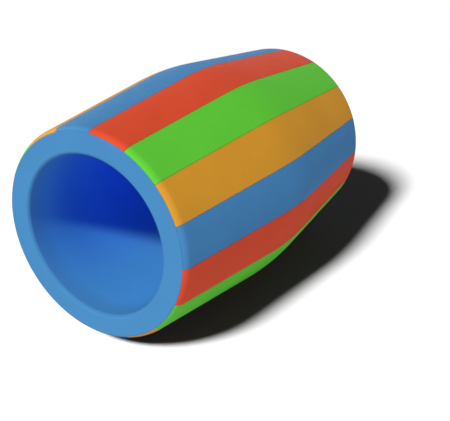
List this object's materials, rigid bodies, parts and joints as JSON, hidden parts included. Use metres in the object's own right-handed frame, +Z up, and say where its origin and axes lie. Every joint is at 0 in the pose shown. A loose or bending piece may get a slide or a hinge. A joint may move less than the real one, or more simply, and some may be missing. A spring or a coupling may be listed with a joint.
{
  "type": "soft play barrel",
  "caption": "Barrel-shaped crawl-through soft play tunnel: a foam core in a zipped cover of striped vinyl panels.",
  "frame": {"origin": "on the floor below the middle of the barrel, which lies on its side", "axes": "+Z up; the barrel's axis runs along Y, 0.4 m above the floor, with the near mouth at -Y and the zipped far mouth at +Y"},
  "size_m": [0.8, 1.2, 0.8],
  "materials": {
    "vinyl_red": "satin",
    "vinyl_green": "satin",
    "vinyl_orange": "satin",
    "vinyl_blue": "satin",
    "foam": "matte",
    "zip_tape": "matte",
    "zip_coil": "satin",
    "zip_metal": "satin"
  },
  "bodies": {
    "barrel": {"cover_panel_01_red": "vinyl_red", "cover_panel_02_green": "vinyl_green", "cover_panel_03_orange": "vinyl_orange", "cover_panel_04_blue": "vinyl_blue", "cover_panel_05_red": "vinyl_red", "cover_panel_06_green": "vinyl_green", "cover_panel_07_orange": "vinyl_orange", "cover_panel_08_blue": "vinyl_blue", "cover_panel_09_red": "vinyl_red", "cover_panel_10_green": "vinyl_green", "cover_panel_11_orange": "vinyl_orange", "cover_panel_12_blue": "vinyl_blue", "cover_panel_13_red": "vinyl_red", "cover_panel_14_green": "vinyl_green", "cover_panel_15_orange": "vinyl_orange", "cover_panel_16_blue": "vinyl_blue", "end_ring_near": "vinyl_blue", "end_ring_far": "vinyl_blue", "bore_liner": "vinyl_blue", "bore_collar": "vinyl_blue", "foam_stave_01": "foam", "foam_stave_02": "foam", "foam_stave_03": "foam", "foam_stave_04": "foam", "foam_stave_05": "foam", "foam_stave_06": "foam", "foam_stave_07": "foam", "foam_stave_08": "foam", "foam_stave_09": "foam", "foam_stave_10": "foam", "foam_stave_11": "foam", "foam_stave_12": "foam", "foam_stave_13": "foam", "foam_stave_14": "foam", "foam_stave_15": "foam", "foam_stave_16": "foam", "zip_tape_near": "zip_tape", "zip_tape_far": "zip_tape", "zip_coil_near": "zip_coil", "zip_coil_far": "zip_coil", "zip_top_stop_near": "zip_metal", "zip_top_stop_far": "zip_metal", "zip_bottom_stop": "zip_metal"},
    "zip_slider": {"zip_slider": "zip_metal"},
    "zip_pull": {"zip_pull": "zip_metal"}
  },
  "joints": [
    {"name": "zip_run", "type": "hinge", "parent": "barrel", "child": "zip_slider", "pos_m": [0, 0.544, 0.4], "axis": [0, 1, 0], "range_deg": [0, 340]},
    {"name": "zip_pull_swing", "type": "hinge", "parent": "zip_slider", "child": "zip_pull", "pos_m": [0.00894, 0.544, 0.13967], "axis": [0, 1, 0], "range_deg": [0, 176]}
  ]
}
